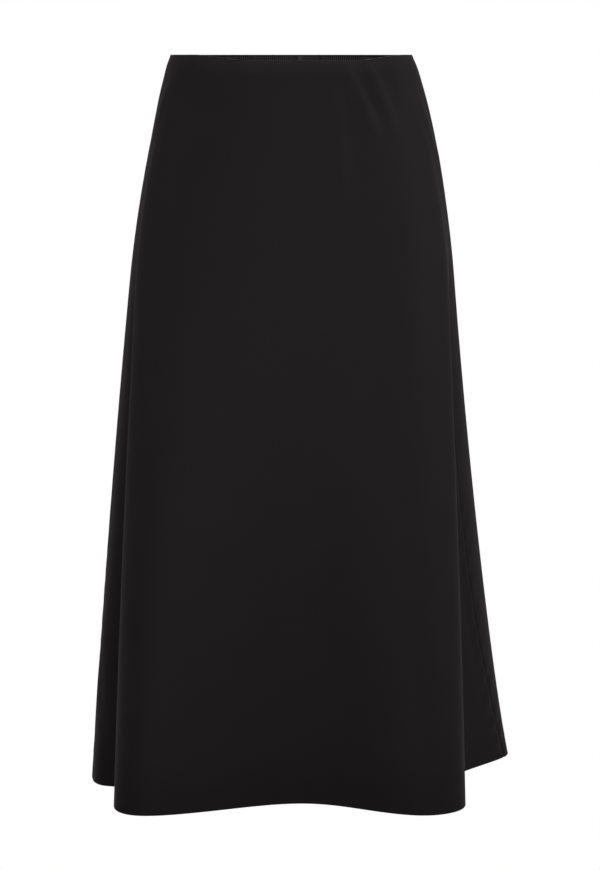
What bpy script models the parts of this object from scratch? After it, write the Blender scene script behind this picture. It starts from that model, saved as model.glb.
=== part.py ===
"""Pull-on black A-line midi skirt, modelled hollow, in the form it takes when it is worn.

Metres, +Z up. The origin is the centre of the waist edge; the front faces -Y and +X is the
viewer's right. Two panels meet at the side seams, a ribbed elastic runs round the inside of
the waist, and a small blank label is sewn to it at the back.
"""
import math

import bmesh
import bpy
import numpy as np

MM = 0.001

# ---- driving sizes -----------------------------------------------------------------------
LENGTH = 781 * MM               # waist edge to hem, straight down
HIP_DROP = 200 * MM             # waist edge down to the hip section
MID_DROP = 490 * MM             # waist edge down to the section between hip and hem
PULL_DROP = 240 * MM            # above this depth the cloth is drawn in towards the waist
WAIST_HALF_WIDTH = 129.2 * MM
WAIST_HALF_DEPTH = 97.0 * MM
WAIST_RISE = 3.4 * MM           # the waist edge stands this much above the origin at the sides
WAIST_DIP = 6.1 * MM            # and is this much lower in the middle of the front
DIP_CENTRE = 10 * MM
DIP_FLAT, DIP_END = 52 * MM, 112 * MM   # half widths of the dip at its bottom and at its top
HIP_HALF_WIDTH = 173 * MM
HIP_FRONT = 121 * MM
HIP_BACK = 132 * MM

WALL = 1.5 * MM                 # cloth, as one thickness of wall
HEM_WALL = 2.7 * MM             # cloth turned up inside itself at the hem
HEM_DEPTH = 28 * MM
SEAM_GAP = 0.3 * MM
RIM_ROUND = 0.45 * MM           # how far the folded waist edge is rounded off on each side

ELASTIC_DROP = 1.5 * MM         # top of the elastic below the waist edge
ELASTIC_HEIGHT = 35 * MM
ELASTIC_WALL = 1.3 * MM
RIB_RISE = 0.5 * MM
ELASTIC_SPANS = 110             # straight lengths that make up the ring
RIBS_PER_SPAN = 3               # upright ribs on the shown, inner side of each length

LABEL_WIDTH = 22 * MM
LABEL_HEIGHT = 45 * MM
LABEL_WALL = 0.8 * MM
LABEL_FOLD = 4 * MM             # one upright edge is folded over and lies double
LABEL_START = 6 * MM            # from the centre back towards +X

# Upright lines round the skirt, in order from the centre front towards +X: where each one
# crosses the hip section, the middle section and the hem, in millimetres from the axis.
#  name                  hip x   hip y   mid x   mid y   hem x   hem y
LINES = [
    ("centre_front",         4,   -121,      8,   -134,     10,   -146),
    ("front_right_flat",    60,   -117,     70,   -143,     78,   -169),
    ("front_right_nose",   111,   -104,    121,   -146,    130,   -189),
    ("front_right_corner", 142,    -87,  154.5,   -131,    166,   -181),
    ("front_right_edge",   161,    -68,    175,   -107,    184,   -153),
    ("right_wall",         166,    -53,    173,    -82,    178,   -104),
    ("right_trough",       168,    -40,    168,    -58,    174,    -52),
    ("side_right_face",    170,    -27,    174,    -35,    207,     -2),
    ("side_seam_right",    171,    -12,    185,    -16,  239.5,     38),
    ("side_right_nose",  174.5,     14,    202,     24,  244.5,     67),
    ("side_right_back",    171,     44,    197,     74,    229,    112),
    ("back_right_trough",  161,     68,    176,    104,    191,    140),
    ("back_right_wall",    147,     89,    162,    134,    176,    178),
    ("back_right_nose",    120,    109,    126,    158,    132,    205),
    ("back_right_flat",     66,    126,     68,    155,     70,    184),
    ("centre_back",          2,    132,      3,    150,      4,    168),
    ("back_left_flat",     -62,    127,    -62,    155,    -62,    182),
    ("back_left_nose",    -117,    110,   -122,    158,   -126,    204),
    ("back_left_wall",    -145,     89,   -160,    135,   -173,    178),
    ("back_left_trough",  -158,     68,   -174,    104,   -189,    138),
    ("side_left_back",    -167,     42,   -190,     67,   -208,     90),
    ("side_left_nose",    -171,     14,   -198,     19,   -218,     26),
    ("side_seam_left",  -170.5,     -8,   -198,    -14,   -220,    -20),
    ("side_left_corner", -168.5,   -25,   -194,    -42,   -216,    -60),
    ("side_left_face",    -166,    -39,   -184,    -62,   -200,    -79),
    ("left_trough",     -163.5,    -51,   -173,    -78,   -180,    -93),
    ("front_left_edge",   -161,    -65,   -177,   -106,   -187,   -147),
    ("front_left_corner", -143,    -88,   -159,   -136,   -175,   -183),
    ("front_left_nose",   -108,   -105,   -124,   -148,   -139,   -190),
    ("front_left_flat",    -56,   -117,    -64,   -143,    -74,   -170),
]
LINE_NAMES = [row[0] for row in LINES]
COLUMNS_PER_LINE = 3            # mesh columns from one line to the next

# Soft drag folds that run down from the waist at the front, millimetres: where each starts
# and ends, seen from the front, its half width, and how far it stands out.
#  name             start x  start z   end x   end z  half width  rise
DRAGS = [
    ("right_long",       48,      0,     91,    -84,      7,       3.8),
    ("right_short",      75,      0,    109,    -80,    6.5,       3.8),
    ("right_corner",    100,     -2,    128,    -60,      8,       3.0),
    ("right_upright",    39,    -28,     52,   -168,     12,       4.4),
    ("left_hip",       -106,    -10,   -140,    -62,      9,       2.6),
]

# depths of the mesh rows below the waist edge
ROWS = [0, 0.7, 12, 24, 38, 54, 74, 98, 126, 156, 190, 226, 268, 318, 376, 438, 502, 568, 636,
        700, 751, 753, 781]


# ---- the shape of the cloth --------------------------------------------------------------
def closed_spline(points):
    """Control points of the closed cubic B-spline that passes through the given points."""
    count = len(points)
    system = np.zeros((count, count))
    for i in range(count):
        system[i, i] = 4 / 6
        system[i, (i + 1) % count] = 1 / 6
        system[i, (i - 1) % count] = 1 / 6
    return np.linalg.solve(system, points)


def along(controls, u):
    """Points of a closed spline at u, where u counts lines from the centre front."""
    count = len(controls)
    u = np.asarray(u, dtype=float) % count
    i = np.floor(u).astype(int) % count
    f = (u - np.floor(u))[..., None]
    return ((1 - f) ** 3 / 6 * controls[(i - 1) % count]
            + (3 * f ** 3 - 6 * f ** 2 + 4) / 6 * controls[i]
            + (-3 * f ** 3 + 3 * f ** 2 + 3 * f + 1) / 6 * controls[(i + 1) % count]
            + f ** 3 / 6 * controls[(i + 2) % count])


TABLE = np.array([row[1:] for row in LINES]) * MM
HIP = closed_spline(TABLE[:, 0:2])
MID = closed_spline(TABLE[:, 2:4])
HEM = closed_spline(TABLE[:, 4:6])


def waist_point(hip):
    """The point of the waist oval in the same direction as a point of the hip section."""
    depth = np.where(hip[..., 1] < 0, HIP_FRONT, HIP_BACK)
    angle = np.arctan2(hip[..., 0] / HIP_HALF_WIDTH, -hip[..., 1] / depth)
    return np.stack([WAIST_HALF_WIDTH * np.sin(angle), -WAIST_HALF_DEPTH * np.cos(angle)], -1)


def waist_height(waist):
    """Height of the waist edge: nearly level, with a shallow dip in the middle of the front."""
    away = np.abs(waist[..., 0] - DIP_CENTRE)
    slope = np.clip((DIP_END - away) / (DIP_END - DIP_FLAT), 0, 1)
    dip = WAIST_DIP * slope * slope * (3 - 2 * slope)
    return WAIST_RISE - np.where(waist[..., 1] < 0, dip, 0)


def flare(hip, mid, hem, drop):
    """Straight above the hip, and below it a gentle curve through the three sections."""
    t = ((drop - HIP_DROP) / (LENGTH - HIP_DROP))[..., None]
    t_mid = (MID_DROP - HIP_DROP) / (LENGTH - HIP_DROP)
    bend = ((hem - hip) - (mid - hip) / t_mid) / (1 - t_mid)
    return hip + (hem - hip - bend) * t + bend * t * np.maximum(t, 0)


def drag_rise(x, z):
    """How far the drag folds push the front of the skirt out at (x, z)."""
    rise = np.zeros_like(x)
    for _, x0, z0, x1, z1, half, height in DRAGS:
        start = np.array([x0, z0]) * MM
        run = np.array([x1, z1]) * MM - start
        length = np.hypot(*run)
        run = run / length
        s = ((x - start[0]) * run[0] + (z - start[1]) * run[1]) / length
        across = (x - start[0]) * run[1] - (z - start[1]) * run[0]
        fade = np.sin(np.pi * np.clip(0.12 + 0.88 * s, 0, 1)) ** 0.8 * (s > -0.13)
        rise = rise + height * MM * np.exp(-(across / (half * MM)) ** 2) * fade
    return rise


def cloth(u, drop, drags=True):
    """Outer face of the cloth at line position u and depth below the waist edge."""
    u, drop = np.broadcast_arrays(np.asarray(u, dtype=float), np.asarray(drop, dtype=float))
    hip, mid, hem = along(HIP, u), along(MID, u), along(HEM, u)
    waist = waist_point(hip)
    pull = (np.maximum(PULL_DROP - drop, 0) / PULL_DROP) ** 2
    above = flare(hip, mid, hem, np.zeros_like(drop))
    plan = flare(hip, mid, hem, drop) - pull[..., None] * (above - waist)
    z = waist_height(waist) * pull - drop
    if drags:
        front = np.clip(-plan[..., 1] / (60 * MM), 0, 1)
        out = hip / np.linalg.norm(hip, axis=-1, keepdims=True)
        plan = plan + out * (drag_rise(plan[..., 0], z) * front)[..., None]
    return np.concatenate([plan, z[..., None]], -1)


def cloth_inward(u, drop, depth, drags=True):
    """The point at the given depth inside the outer face, square to it."""
    step_u, step_drop = 0.02, 1 * MM
    drop = np.asarray(drop, dtype=float)
    round_way = cloth(u + step_u, drop, drags) - cloth(u - step_u, drop, drags)
    down_way = cloth(u, drop + step_drop, drags) - cloth(u, drop - step_drop, drags)
    normal = np.cross(down_way, round_way)
    normal = normal / np.linalg.norm(normal, axis=-1, keepdims=True)
    return cloth(u, drop, drags) - normal * np.asarray(depth)[..., None]


# ---- turning points into solids ----------------------------------------------------------
def cloth_material(name, colour, roughness):
    material = bpy.data.materials.new(name)
    material.use_nodes = True
    shader = material.node_tree.nodes["Principled BSDF"]
    shader.inputs["Base Color"].default_value = (*colour, 1)
    shader.inputs["Roughness"].default_value = roughness
    shader.inputs["Metallic"].default_value = 0
    return material


def add_solid(name, verts, faces, material):
    mesh = bpy.data.meshes.new(name)
    mesh.from_pydata([tuple(v) for v in verts], [], faces)
    shape = bmesh.new()
    shape.from_mesh(mesh)
    bmesh.ops.recalc_face_normals(shape, faces=shape.faces)
    shape.to_mesh(mesh)
    shape.free()
    mesh.shade_smooth()
    mesh.set_sharp_from_angle(angle=math.radians(50))
    mesh.materials.append(material)
    thing = bpy.data.objects.new(name, mesh)
    bpy.context.collection.objects.link(thing)
    print(f"{name}: {sum(len(f) - 2 for f in faces)} triangles")
    return thing


def open_sheet(outer, inner):
    """Faces of the wall between two grids of points, rows by columns, closed at its edges."""
    rows, columns = outer.shape[:2]
    count = rows * columns

    def at(side, r, c):
        return side * count + r * columns + c

    faces = []
    for r in range(rows - 1):
        for c in range(columns - 1):
            faces.append((at(0, r, c), at(0, r + 1, c), at(0, r + 1, c + 1), at(0, r, c + 1)))
            faces.append((at(1, r, c), at(1, r, c + 1), at(1, r + 1, c + 1), at(1, r + 1, c)))
    for c in range(columns - 1):
        for r in (0, rows - 1):
            faces.append((at(0, r, c), at(0, r, c + 1), at(1, r, c + 1), at(1, r, c)))
    for r in range(rows - 1):
        for c in (0, columns - 1):
            faces.append((at(0, r, c), at(0, r + 1, c), at(1, r + 1, c), at(1, r, c)))
    verts = np.concatenate([outer.reshape(-1, 3), inner.reshape(-1, 3)])
    return verts, faces


def add_panel(name, first_line, last_line, material):
    """One panel, from one side seam to the other, with its hem turned up inside."""
    spans = (last_line - first_line) * COLUMNS_PER_LINE
    u = first_line + np.arange(spans + 1) / COLUMNS_PER_LINE
    drop = np.array(ROWS) * MM
    u_grid, drop_grid = np.meshgrid(u, drop)
    turned_up = drop_grid > LENGTH - HEM_DEPTH - 0.5 * MM
    depth = np.where(turned_up, HEM_WALL, WALL)
    outer = cloth(u_grid, drop_grid)
    inner = cloth_inward(u_grid, drop_grid, depth)
    across = inner[0] - outer[0]
    across = across / np.linalg.norm(across, axis=-1, keepdims=True)
    outer[0] += across * RIM_ROUND
    inner[0] -= across * RIM_ROUND
    for column, way in ((0, 1), (-1, -1)):
        along_cloth = outer[:, column + way] - outer[:, column]
        along_cloth[:, 2] = 0
        along_cloth /= np.linalg.norm(along_cloth, axis=-1, keepdims=True)
        outer[:, column] += along_cloth * SEAM_GAP / 2
        inner[:, column] += along_cloth * SEAM_GAP / 2
    return add_solid(name, *open_sheet(outer, inner), material)


def panel_columns():
    """Line positions of every mesh column, once round the skirt."""
    return np.arange(len(LINES) * COLUMNS_PER_LINE) / COLUMNS_PER_LINE


def waist_ring(drop, depth, count):
    """Evenly spaced points round the waist, at a depth inside the cloth, from centre back."""
    ring = cloth_inward(panel_columns(), np.full(len(panel_columns()), drop),
                        np.full(len(panel_columns()), depth), drags=False)
    ring = np.roll(ring, -LINE_NAMES.index("centre_back") * COLUMNS_PER_LINE, axis=0)
    ring = np.concatenate([ring, ring[:1]])
    length = np.concatenate([[0], np.cumsum(np.linalg.norm(np.diff(ring, axis=0), axis=1))])
    even = np.linspace(0, length[-1], count, endpoint=False)
    return np.stack([np.interp(even, length, ring[:, k]) for k in range(3)], -1), length[-1]


def add_elastic(name, material):
    """A closed ring, plain against the cloth and ribbed on its shown, inner side."""
    spans, points = ELASTIC_SPANS, ELASTIC_SPANS * RIBS_PER_SPAN * 2
    back = WALL + SEAM_GAP + 0.05 * MM
    rings = {}
    for level, drop in (("top", ELASTIC_DROP), ("low", ELASTIC_DROP + ELASTIC_HEIGHT)):
        plain, _ = waist_ring(drop, back, spans)
        valley, _ = waist_ring(drop, back + ELASTIC_WALL, points)
        crest, _ = waist_ring(drop, back + ELASTIC_WALL + RIB_RISE, points)
        ribbed = valley.copy()
        ribbed[1::2] = crest[1::2]
        rings[level] = (plain, ribbed)
    verts = np.concatenate([rings["top"][0], rings["low"][0], rings["top"][1], rings["low"][1]])
    faces = []
    step = points // spans
    for i in range(spans):
        j = (i + 1) % spans
        faces.append((i, j, spans + j, spans + i))
        for level in (0, 1):
            shown = [2 * spans + level * points + (i * step + k) % points
                     for k in range(step + 1)]
            faces.append((level * spans + j, level * spans + i, *shown))
    for k in range(points):
        m = (k + 1) % points
        top, low = 2 * spans, 2 * spans + points
        faces.append((top + k, low + k, low + m, top + m))
    return add_solid(name, verts, faces, material)


def add_label(name, material):
    """A small blank tape, sewn to the top of the elastic and hanging down inside it."""
    depth = WALL + SEAM_GAP + 0.05 * MM + ELASTIC_WALL + RIB_RISE + SEAM_GAP
    count = 2000
    _, length = waist_ring(ELASTIC_DROP, depth, count)
    across = [0, 1 * MM, LABEL_FOLD, LABEL_FOLD + 0.5 * MM]
    across += list(np.linspace(LABEL_FOLD + 4 * MM, LABEL_WIDTH, 5))
    down = [0, 12 * MM, 24 * MM, ELASTIC_HEIGHT, LABEL_HEIGHT]
    sides = []
    for shown in (False, True):
        grid = []
        for drop in down:
            row = []
            for a in across:
                wall = 0
                if shown:
                    wall = LABEL_WALL * (1.6 if a <= LABEL_FOLD else 1)
                at_drop = ELASTIC_DROP + min(drop, ELASTIC_HEIGHT)
                ring, _ = waist_ring(at_drop, depth + wall, count)
                point = ring[-round((LABEL_START + a) / length * count)].copy()
                point[2] -= max(drop - ELASTIC_HEIGHT, 0)
                row.append(point)
            grid.append(row)
        sides.append(np.array(grid))
    return add_solid(name, *open_sheet(*sides), material)


# ---- the skirt ---------------------------------------------------------------------------
for thing in list(bpy.data.objects):
    bpy.data.objects.remove(thing, do_unlink=True)

CLOTH = cloth_material("black_cloth", (0.0129, 0.0116, 0.0119), 0.82)
ELASTIC = cloth_material("black_elastic", (0.0144, 0.0130, 0.0134), 0.72)
TAPE = cloth_material("black_tape", (0.0180, 0.0165, 0.0170), 0.45)

RIGHT_SEAM = LINE_NAMES.index("side_seam_right")
LEFT_SEAM = LINE_NAMES.index("side_seam_left")
add_panel("front_panel", LEFT_SEAM - len(LINES), RIGHT_SEAM, CLOTH)
add_panel("back_panel", RIGHT_SEAM, LEFT_SEAM, CLOTH)
add_elastic("waist_elastic", ELASTIC)
add_label("label", TAPE)
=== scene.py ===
# %% [markdown]
# # A black pull-on midi skirt
# The skirt is two panels of heavy matte jersey crepe, sewn at the sides, turned up at the hem
# and held by a ribbed elastic inside the waist. It hangs in the form it takes when worn. The
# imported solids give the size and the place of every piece; each cell below dresses one of them.

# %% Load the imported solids
import math

import bpy
import numpy as np
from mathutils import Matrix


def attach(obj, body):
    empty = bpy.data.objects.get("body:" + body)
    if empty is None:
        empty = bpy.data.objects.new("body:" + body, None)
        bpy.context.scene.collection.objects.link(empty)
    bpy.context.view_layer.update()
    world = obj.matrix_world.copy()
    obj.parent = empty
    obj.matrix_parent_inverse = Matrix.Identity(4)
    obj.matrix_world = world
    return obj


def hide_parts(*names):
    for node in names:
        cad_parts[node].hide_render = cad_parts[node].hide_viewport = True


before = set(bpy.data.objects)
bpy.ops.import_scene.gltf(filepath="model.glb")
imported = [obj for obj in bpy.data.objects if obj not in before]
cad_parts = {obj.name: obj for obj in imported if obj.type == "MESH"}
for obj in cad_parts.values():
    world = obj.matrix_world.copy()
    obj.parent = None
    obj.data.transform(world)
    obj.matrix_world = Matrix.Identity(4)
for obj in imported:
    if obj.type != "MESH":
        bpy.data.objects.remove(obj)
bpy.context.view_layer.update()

# %% [markdown]
# ## Camera
# The photograph looks slightly down at the hem and level with the waist, from a few metres
# away with a long lens. A lens that is long keeps the sides of the skirt nearly parallel.

# %% Camera at the photograph's angle
CAMERA_PLACE = (0.0093, -2.8, 0.0)
CAMERA_DOWN = math.radians(8.29)
LENS = 107.15                       # millimetres, over 36 mm of the picture's long side

camera_data = bpy.data.cameras.new("camera")
camera_data.sensor_width = 36
camera_data.lens = LENS
camera_data.clip_start = 0.01
camera = bpy.data.objects.new("camera", camera_data)
camera.location = CAMERA_PLACE
camera.rotation_euler = (math.pi / 2 - CAMERA_DOWN, 0, 0)
bpy.context.collection.objects.link(camera)
bpy.context.scene.camera = camera
print("camera", round(-CAMERA_PLACE[1], 2), "metres away, looking down",
      round(math.degrees(CAMERA_DOWN), 2), "degrees")

# %% [markdown]
# ## Sizes and the lines of the cloth
# A hanging skirt is easiest to describe by upright lines round it. Each line says where it
# crosses three level sections: the hip, the middle and the hem. A smooth closed curve through
# a section's points gives the flutes, and a gentle curve down each line gives the flare.

# %% Sizes in metres and the table of lines
MM = 0.001
LENGTH, HIP_DROP, MID_DROP, PULL_DROP = 781 * MM, 200 * MM, 490 * MM, 240 * MM
WAIST_HALF_WIDTH, WAIST_HALF_DEPTH = 129.2 * MM, 97.0 * MM
WAIST_RISE, WAIST_DIP, DIP_CENTRE, DIP_FLAT, DIP_END = (v * MM for v in (3.4, 6.1, 10, 52, 112))
HIP_HALF_WIDTH, HIP_FRONT, HIP_BACK = 173 * MM, 121 * MM, 132 * MM

#  name                  hip x   hip y   mid x   mid y   hem x   hem y
LINES = [
    ("centre_front",         4,   -121,      8,   -134,     10,   -146),
    ("front_right_flat",    60,   -117,     70,   -143,     78,   -169),
    ("front_right_nose",   111,   -104,    121,   -146,    130,   -189),
    ("front_right_corner", 142,    -87,  154.5,   -131,    166,   -181),
    ("front_right_edge",   161,    -68,    175,   -107,    184,   -153),
    ("right_wall",         166,    -53,    173,    -82,    178,   -104),
    ("right_trough",       168,    -40,    168,    -58,    174,    -52),
    ("side_right_face",    170,    -27,    174,    -35,    207,     -2),
    ("side_seam_right",    171,    -12,    185,    -16,  239.5,     38),
    ("side_right_nose",  174.5,     14,    202,     24,  244.5,     67),
    ("side_right_back",    171,     44,    197,     74,    229,    112),
    ("back_right_trough",  161,     68,    176,    104,    191,    140),
    ("back_right_wall",    147,     89,    162,    134,    176,    178),
    ("back_right_nose",    120,    109,    126,    158,    132,    205),
    ("back_right_flat",     66,    126,     68,    155,     70,    184),
    ("centre_back",          2,    132,      3,    150,      4,    168),
    ("back_left_flat",     -62,    127,    -62,    155,    -62,    182),
    ("back_left_nose",    -117,    110,   -122,    158,   -126,    204),
    ("back_left_wall",    -145,     89,   -160,    135,   -173,    178),
    ("back_left_trough",  -158,     68,   -174,    104,   -189,    138),
    ("side_left_back",    -167,     42,   -190,     67,   -208,     90),
    ("side_left_nose",    -171,     14,   -198,     19,   -218,     26),
    ("side_seam_left",  -170.5,     -8,   -198,    -14,   -220,    -20),
    ("side_left_corner", -168.5,   -25,   -194,    -42,   -216,    -60),
    ("side_left_face",    -166,    -39,   -184,    -62,   -200,    -79),
    ("left_trough",     -163.5,    -51,   -173,    -78,   -180,    -93),
    ("front_left_edge",   -161,    -65,   -177,   -106,   -187,   -147),
    ("front_left_corner", -143,    -88,   -159,   -136,   -175,   -183),
    ("front_left_nose",   -108,   -105,   -124,   -148,   -139,   -190),
    ("front_left_flat",    -56,   -117,    -64,   -143,    -74,   -170),
]
LINE_NAMES = [row[0] for row in LINES]
RIGHT_SEAM = LINE_NAMES.index("side_seam_right")
LEFT_SEAM = LINE_NAMES.index("side_seam_left")
CENTRE_BACK = LINE_NAMES.index("centre_back")

# Drag folds that run down from the waist, in millimetres as seen from the front
#  name             start x  start z   end x   end z  half width  rise
DRAGS = [
    ("right_long",       48,      0,     91,    -84,      7,       3.8),
    ("right_short",      75,      0,    109,    -80,    6.5,       3.8),
    ("right_corner",    100,     -2,    128,    -60,      8,       3.0),
    ("right_upright",    39,    -28,     52,   -168,     12,       4.4),
    ("left_hip",       -106,    -10,   -140,    -62,      9,       2.6),
]
DRAG_REACH = 60 * MM                # a drag fold dies out this near to the sides
print(len(LINES), "lines round the skirt,", len(DRAGS), "drag folds")

# %% [markdown]
# ## The surface of the cloth
# The same few functions shape both panels and everything sewn to them, so a stitch or a seam
# allowance lands on the cloth without any fitting. `cloth` gives a point of the outer face
# from u, which counts lines from the centre front, and the depth below the waist edge.

# %% Smooth curves through the sections


def closed_spline(points):
    """Control points of the closed cubic B-spline that passes through the given points."""
    count = len(points)
    system = np.zeros((count, count))
    for i in range(count):
        system[i, i] = 4 / 6
        system[i, (i + 1) % count] = 1 / 6
        system[i, (i - 1) % count] = 1 / 6
    return np.linalg.solve(system, points)


def along(controls, u):
    """Points of a closed spline at u."""
    count = len(controls)
    u = np.asarray(u, dtype=float) % count
    i = np.floor(u).astype(int) % count
    f = (u - np.floor(u))[..., None]
    return ((1 - f) ** 3 / 6 * controls[(i - 1) % count]
            + (3 * f ** 3 - 6 * f ** 2 + 4) / 6 * controls[i]
            + (-3 * f ** 3 + 3 * f ** 2 + 3 * f + 1) / 6 * controls[(i + 1) % count]
            + f ** 3 / 6 * controls[(i + 2) % count])


TABLE = np.array([row[1:] for row in LINES]) * MM
HIP, MID, HEM = (closed_spline(TABLE[:, k:k + 2]) for k in (0, 2, 4))
print("sections", [len(section) for section in (HIP, MID, HEM)])

# %% From the waist oval to the hem


def waist_point(hip):
    """The point of the waist oval in the same direction as a point of the hip."""
    depth = np.where(hip[..., 1] < 0, HIP_FRONT, HIP_BACK)
    angle = np.arctan2(hip[..., 0] / HIP_HALF_WIDTH, -hip[..., 1] / depth)
    return np.stack([WAIST_HALF_WIDTH * np.sin(angle), -WAIST_HALF_DEPTH * np.cos(angle)], -1)


def waist_height(waist):
    """Height of the waist edge: nearly level, with a shallow dip in the middle of the front."""
    away = np.abs(waist[..., 0] - DIP_CENTRE)
    slope = np.clip((DIP_END - away) / (DIP_END - DIP_FLAT), 0, 1)
    dip = WAIST_DIP * slope * slope * (3 - 2 * slope)
    return WAIST_RISE - np.where(waist[..., 1] < 0, dip, 0)


def flare(hip, mid, hem, drop):
    """Straight above the hip, and below it a gentle curve through the three sections."""
    t = ((drop - HIP_DROP) / (LENGTH - HIP_DROP))[..., None]
    t_mid = (MID_DROP - HIP_DROP) / (LENGTH - HIP_DROP)
    bend = ((hem - hip) - (mid - hip) / t_mid) / (1 - t_mid)
    return hip + (hem - hip - bend) * t + bend * t * np.maximum(t, 0)


def drag_rise(x, z):
    """How far the drag folds stand out at a place seen from the front."""
    rise = np.zeros_like(x)
    for _, x0, z0, x1, z1, half, height in DRAGS:
        start = np.array([x0, z0]) * MM
        run = np.array([x1, z1]) * MM - start
        length = np.hypot(*run)
        run = run / length
        s = ((x - start[0]) * run[0] + (z - start[1]) * run[1]) / length
        across = (x - start[0]) * run[1] - (z - start[1]) * run[0]
        fade = np.sin(np.pi * np.clip(0.12 + 0.88 * s, 0, 1)) ** 0.8 * (s > -0.13)
        rise = rise + height * MM * np.exp(-(across / (half * MM)) ** 2) * fade
    return rise


def cloth(u, drop, drags=True):
    """Outer face of the cloth."""
    u, drop = np.broadcast_arrays(np.asarray(u, dtype=float), np.asarray(drop, dtype=float))
    hip, mid, hem = along(HIP, u), along(MID, u), along(HEM, u)
    waist = waist_point(hip)
    pull = (np.maximum(PULL_DROP - drop, 0) / PULL_DROP) ** 2
    above = flare(hip, mid, hem, np.zeros_like(drop))
    plan = flare(hip, mid, hem, drop) - pull[..., None] * (above - waist)
    z = waist_height(waist) * pull - drop
    if drags:
        front = np.clip(-plan[..., 1] / DRAG_REACH, 0, 1)
        out = hip / np.linalg.norm(hip, axis=-1, keepdims=True)
        plan = plan + out * (drag_rise(plan[..., 0], z) * front)[..., None]
    return np.concatenate([plan, z[..., None]], -1)


def unit(vectors):
    return vectors / np.linalg.norm(vectors, axis=-1, keepdims=True)


def length_along(points):
    """How far along a row of points each one lies."""
    return np.concatenate([[0], np.cumsum(np.linalg.norm(np.diff(points, axis=0), axis=1))])


hem_ring = cloth(np.linspace(0, len(LINES), 3000), LENGTH)
print("round the hem", round(float(length_along(hem_ring)[-1]), 4), "metres")


# %% [markdown]
# ## Small relief: seams, puckers and soft creases
# A sewn seam sinks a little below the cloth, and on a bias-cut edge it draws the cloth into
# short puckers. These are a fraction of a millimetre to a few millimetres deep, so they are
# added along the surface's own normal. The creases on the hidden sides are of the same kind
# as those on the front.

# %% Seam relief and soft creases
SEAM_SINK, SEAM_SINK_WIDTH = 0.65 * MM, 1.5 * MM
PUCKER_WIDTH = 10 * MM
PUCKER_START = 0.18                 # share of a pucker's height that is there from the waist on
PUCKER_LEAN = 2.2                   # puckers slant by this many radians over their own width
PUCKER_EASE = 14 * MM               # they die out this far above the hem
WAIST_FULL = 1.1 * MM               # the cloth stands this much fuller over the elastic
FULL_FROM, FULL_END, FULL_FADE = 15 * MM, 95 * MM, 60 * MM
#  seam          pucker height  wave length  starts at drop  full at drop
PUCKERS = [
    (RIGHT_SEAM,     0.45,        29.0,        430,            650),
    (LEFT_SEAM,      0.30,        27.0,        460,            700),
]

# Soft creases: where each starts and ends, as a line position and a drop, its half width in
# millimetres, and how far it stands out of the cloth, or into it if less than nothing
#  name                 line   drop    line   drop   half width  rise
CREASES = [
    ("left_side_low",     23.4,   560,   22.6,   740,      14,     1.6),
    ("left_side_low_two", 22.9,   610,   23.6,   735,       9,    -1.2),
    ("left_hip_side",     25.2,    20,   23.6,   105,       9,     1.3),
    ("right_hip_side",     4.6,    22,    6.4,   118,       8,     1.4),
    ("right_side_low",     7.4,   470,    7.7,   740,      10,    -1.0),
    ("back_right_drag",   13.1,     8,   12.2,    98,      10,     2.0),
    ("back_right_upright", 13.9,   24,   13.6,   160,      12,     1.6),
    ("back_left_drag",    17.2,     8,   18.3,    92,      10,     1.9),
    ("back_left_upright", 16.3,    30,   16.6,   175,      13,     1.5),
    ("centre_back_soft",  15.2,   120,   15.0,   420,      26,     1.2),
    ("centre_front_soft", 29.6,   150,   29.5,   470,      30,     1.0),
    ("front_left_soft",   28.6,   240,   28.4,   640,      22,     1.1),
    ("front_right_soft",   1.6,   210,    1.7,   560,      24,     1.2),
]


def line_gap(u, line):
    """Signed distance from a line, in lines, the short way round."""
    half = len(LINES) / 2
    return (u - line + half) % len(LINES) - half


def smooth_step(value):
    """From 0 to 1 with no corner at either end."""
    value = np.clip(value, 0, 1)
    return value * value * (3 - 2 * value)


def relief(u, drop, spread):
    """How far the small forms stand out; spread is metres of cloth in one line step."""
    height = WAIST_FULL * smooth_step(drop / FULL_FROM) * smooth_step((FULL_END - drop) / FULL_FADE)
    for seam, pucker, wave, start, full in PUCKERS:
        away = np.abs(line_gap(u, seam)) * spread
        grow = PUCKER_START + (1 - PUCKER_START) * smooth_step((drop / MM - start) / (full - start))
        height = height - SEAM_SINK * (0.5 + 0.5 * grow) * np.exp(-(away / SEAM_SINK_WIDTH) ** 2)
        phase = 2 * np.pi * (drop / MM) / wave
        phase = phase + 1.9 * np.sin(drop / MM / 41 + seam) + 1.1 * np.sin(drop / MM / 17.3)
        lean = phase + line_gap(u, seam) * spread / PUCKER_WIDTH * PUCKER_LEAN
        reach = PUCKER_WIDTH * (1 + 0.35 * np.sin(drop / MM / 29 + 2))
        grow = grow * smooth_step((LENGTH - drop) / PUCKER_EASE)
        height = height + pucker * MM * grow * np.sin(lean) * np.exp(-(away / reach) ** 2)
    for _, line0, drop0, line1, drop1, half, rise in CREASES:
        t = (drop / MM - drop0) / (drop1 - drop0)
        centre = line0 + (line1 - line0) * t + 0.05 * np.sin(5 * t + drop0)
        away = line_gap(u, centre) * spread
        fade = np.sin(np.pi * np.clip(t, 0, 1)) ** 1.5
        height = height + rise * MM * fade * np.exp(-(away / (half * MM)) ** 2)
    return height


print(len(PUCKERS), "puckered seams,", len(CREASES), "soft creases")

# %% The face of the cloth with its relief


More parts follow.
